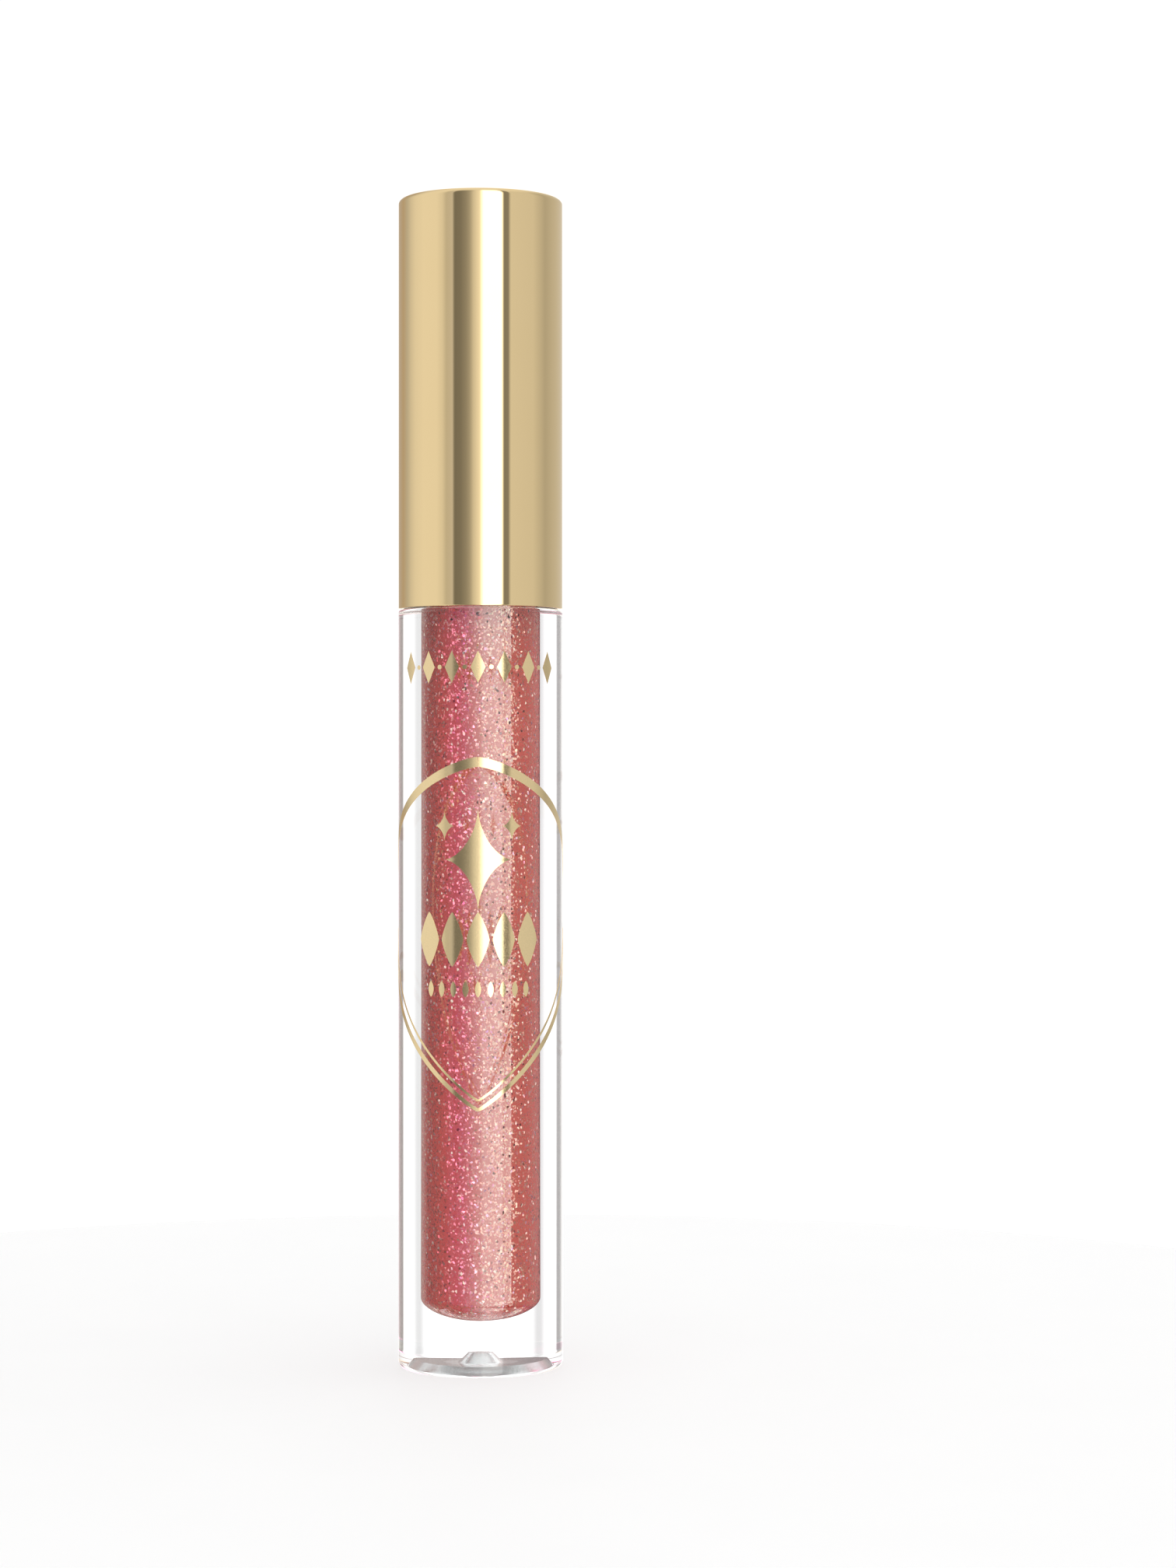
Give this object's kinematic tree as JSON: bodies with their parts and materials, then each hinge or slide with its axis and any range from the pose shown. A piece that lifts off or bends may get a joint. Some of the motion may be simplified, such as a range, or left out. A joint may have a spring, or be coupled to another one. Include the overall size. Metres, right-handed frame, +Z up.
{
  "type": "lip gloss tube",
  "caption": "Slim clear lip gloss tube with a thick wall, a gold screw cap and a wand with a leaning flocked tip that draws out through a wiper in the neck.",
  "frame": {"origin": "centre of the ring that the bottle stands on, at the bottom of the closed tube", "axes": "+Z up along the axis of the tube, from the base to the top of the cap; +X is the side that the applicator tip leans to; -Y is the front, with the middle of the foil ornament"},
  "size_m": [0.016, 0.016, 0.1134],
  "materials": {
    "clear_plastic": "polished crystal-clear injection moulding",
    "natural_plastic": "soft natural polyethylene, slightly waxy",
    "shimmer_gloss": "wet coral-pink gloss full of gold, pink and violet shimmer",
    "gold_metal": "bright anodised light gold, mirror polish",
    "dark_plastic": "moulded, lightly grained",
    "seal_foam": "soft closed-cell foam",
    "rod_plastic": "smooth white moulding that lets a little light through",
    "pink_flock": "short dense fuzzy fibres, stained by the gloss",
    "gold_foil": "hot-stamped bright gold foil"
  },
  "bodies": {
    "bottle": {"bottle": "clear_plastic", "wiper": "natural_plastic", "gloss_fill": "shimmer_gloss"},
    "seal_ring": {"seal_ring": "seal_foam"},
    "cap": {"cap_shell": "gold_metal", "inner_cap": "dark_plastic", "wand_rod": "rod_plastic", "applicator_core": "rod_plastic", "applicator_flock": "pink_flock"}
  },
  "joints": [
    {"name": "cap_lift", "type": "slide", "parent": "bottle", "child": "seal_ring", "axis": [0, 0, 1], "range_m": [0, 0.085], "deforming": ["wiper", "gloss_fill"]},
    {"name": "cap_turn", "type": "hinge", "parent": "seal_ring", "child": "cap", "pos_m": [0, 0, 0.0736], "axis": [0, 0, 1], "range_deg": [0, 630]}
  ]
}
